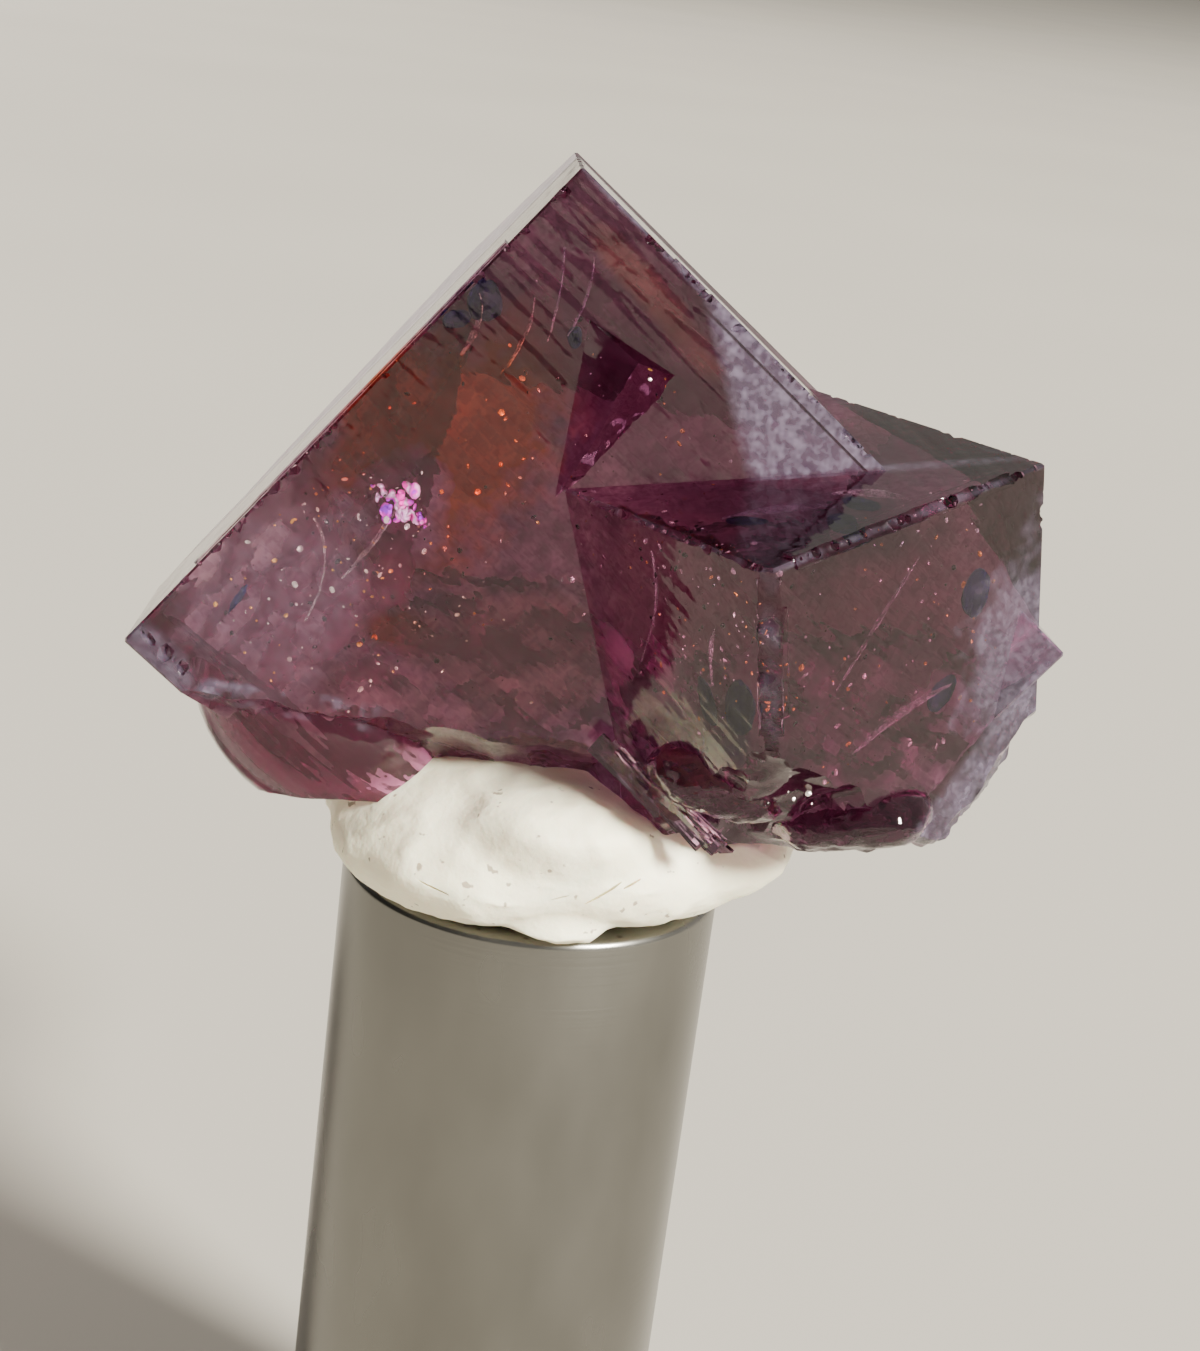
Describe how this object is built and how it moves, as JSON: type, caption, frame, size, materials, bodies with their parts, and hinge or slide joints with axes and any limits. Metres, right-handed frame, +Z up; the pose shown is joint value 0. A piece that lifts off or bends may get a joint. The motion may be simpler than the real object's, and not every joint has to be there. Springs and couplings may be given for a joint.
{
  "type": "fluorite specimen",
  "caption": "Clear purple fluorite twin of two interpenetrating cubes, held by a lump of cream putty on the end of a short round metal rod that stands on its flat foot.",
  "frame": {"origin": "centre of the rod's flat foot", "axes": "+Z up along the rod's axis, -Y the side with the large flat crystal face, +X the side of the small cube"},
  "size_m": [0.0136, 0.0119, 0.0252],
  "materials": {
    "fluorite": "clear purple crystal, flat faces, broken underside",
    "putty": "cream, smooth with a fine grain",
    "rod": "satin"
  },
  "bodies": {
    "root": {"fluorite_twin": "fluorite", "mounting_putty": "putty", "holder_rod": "rod"}
  },
  "joints": []
}
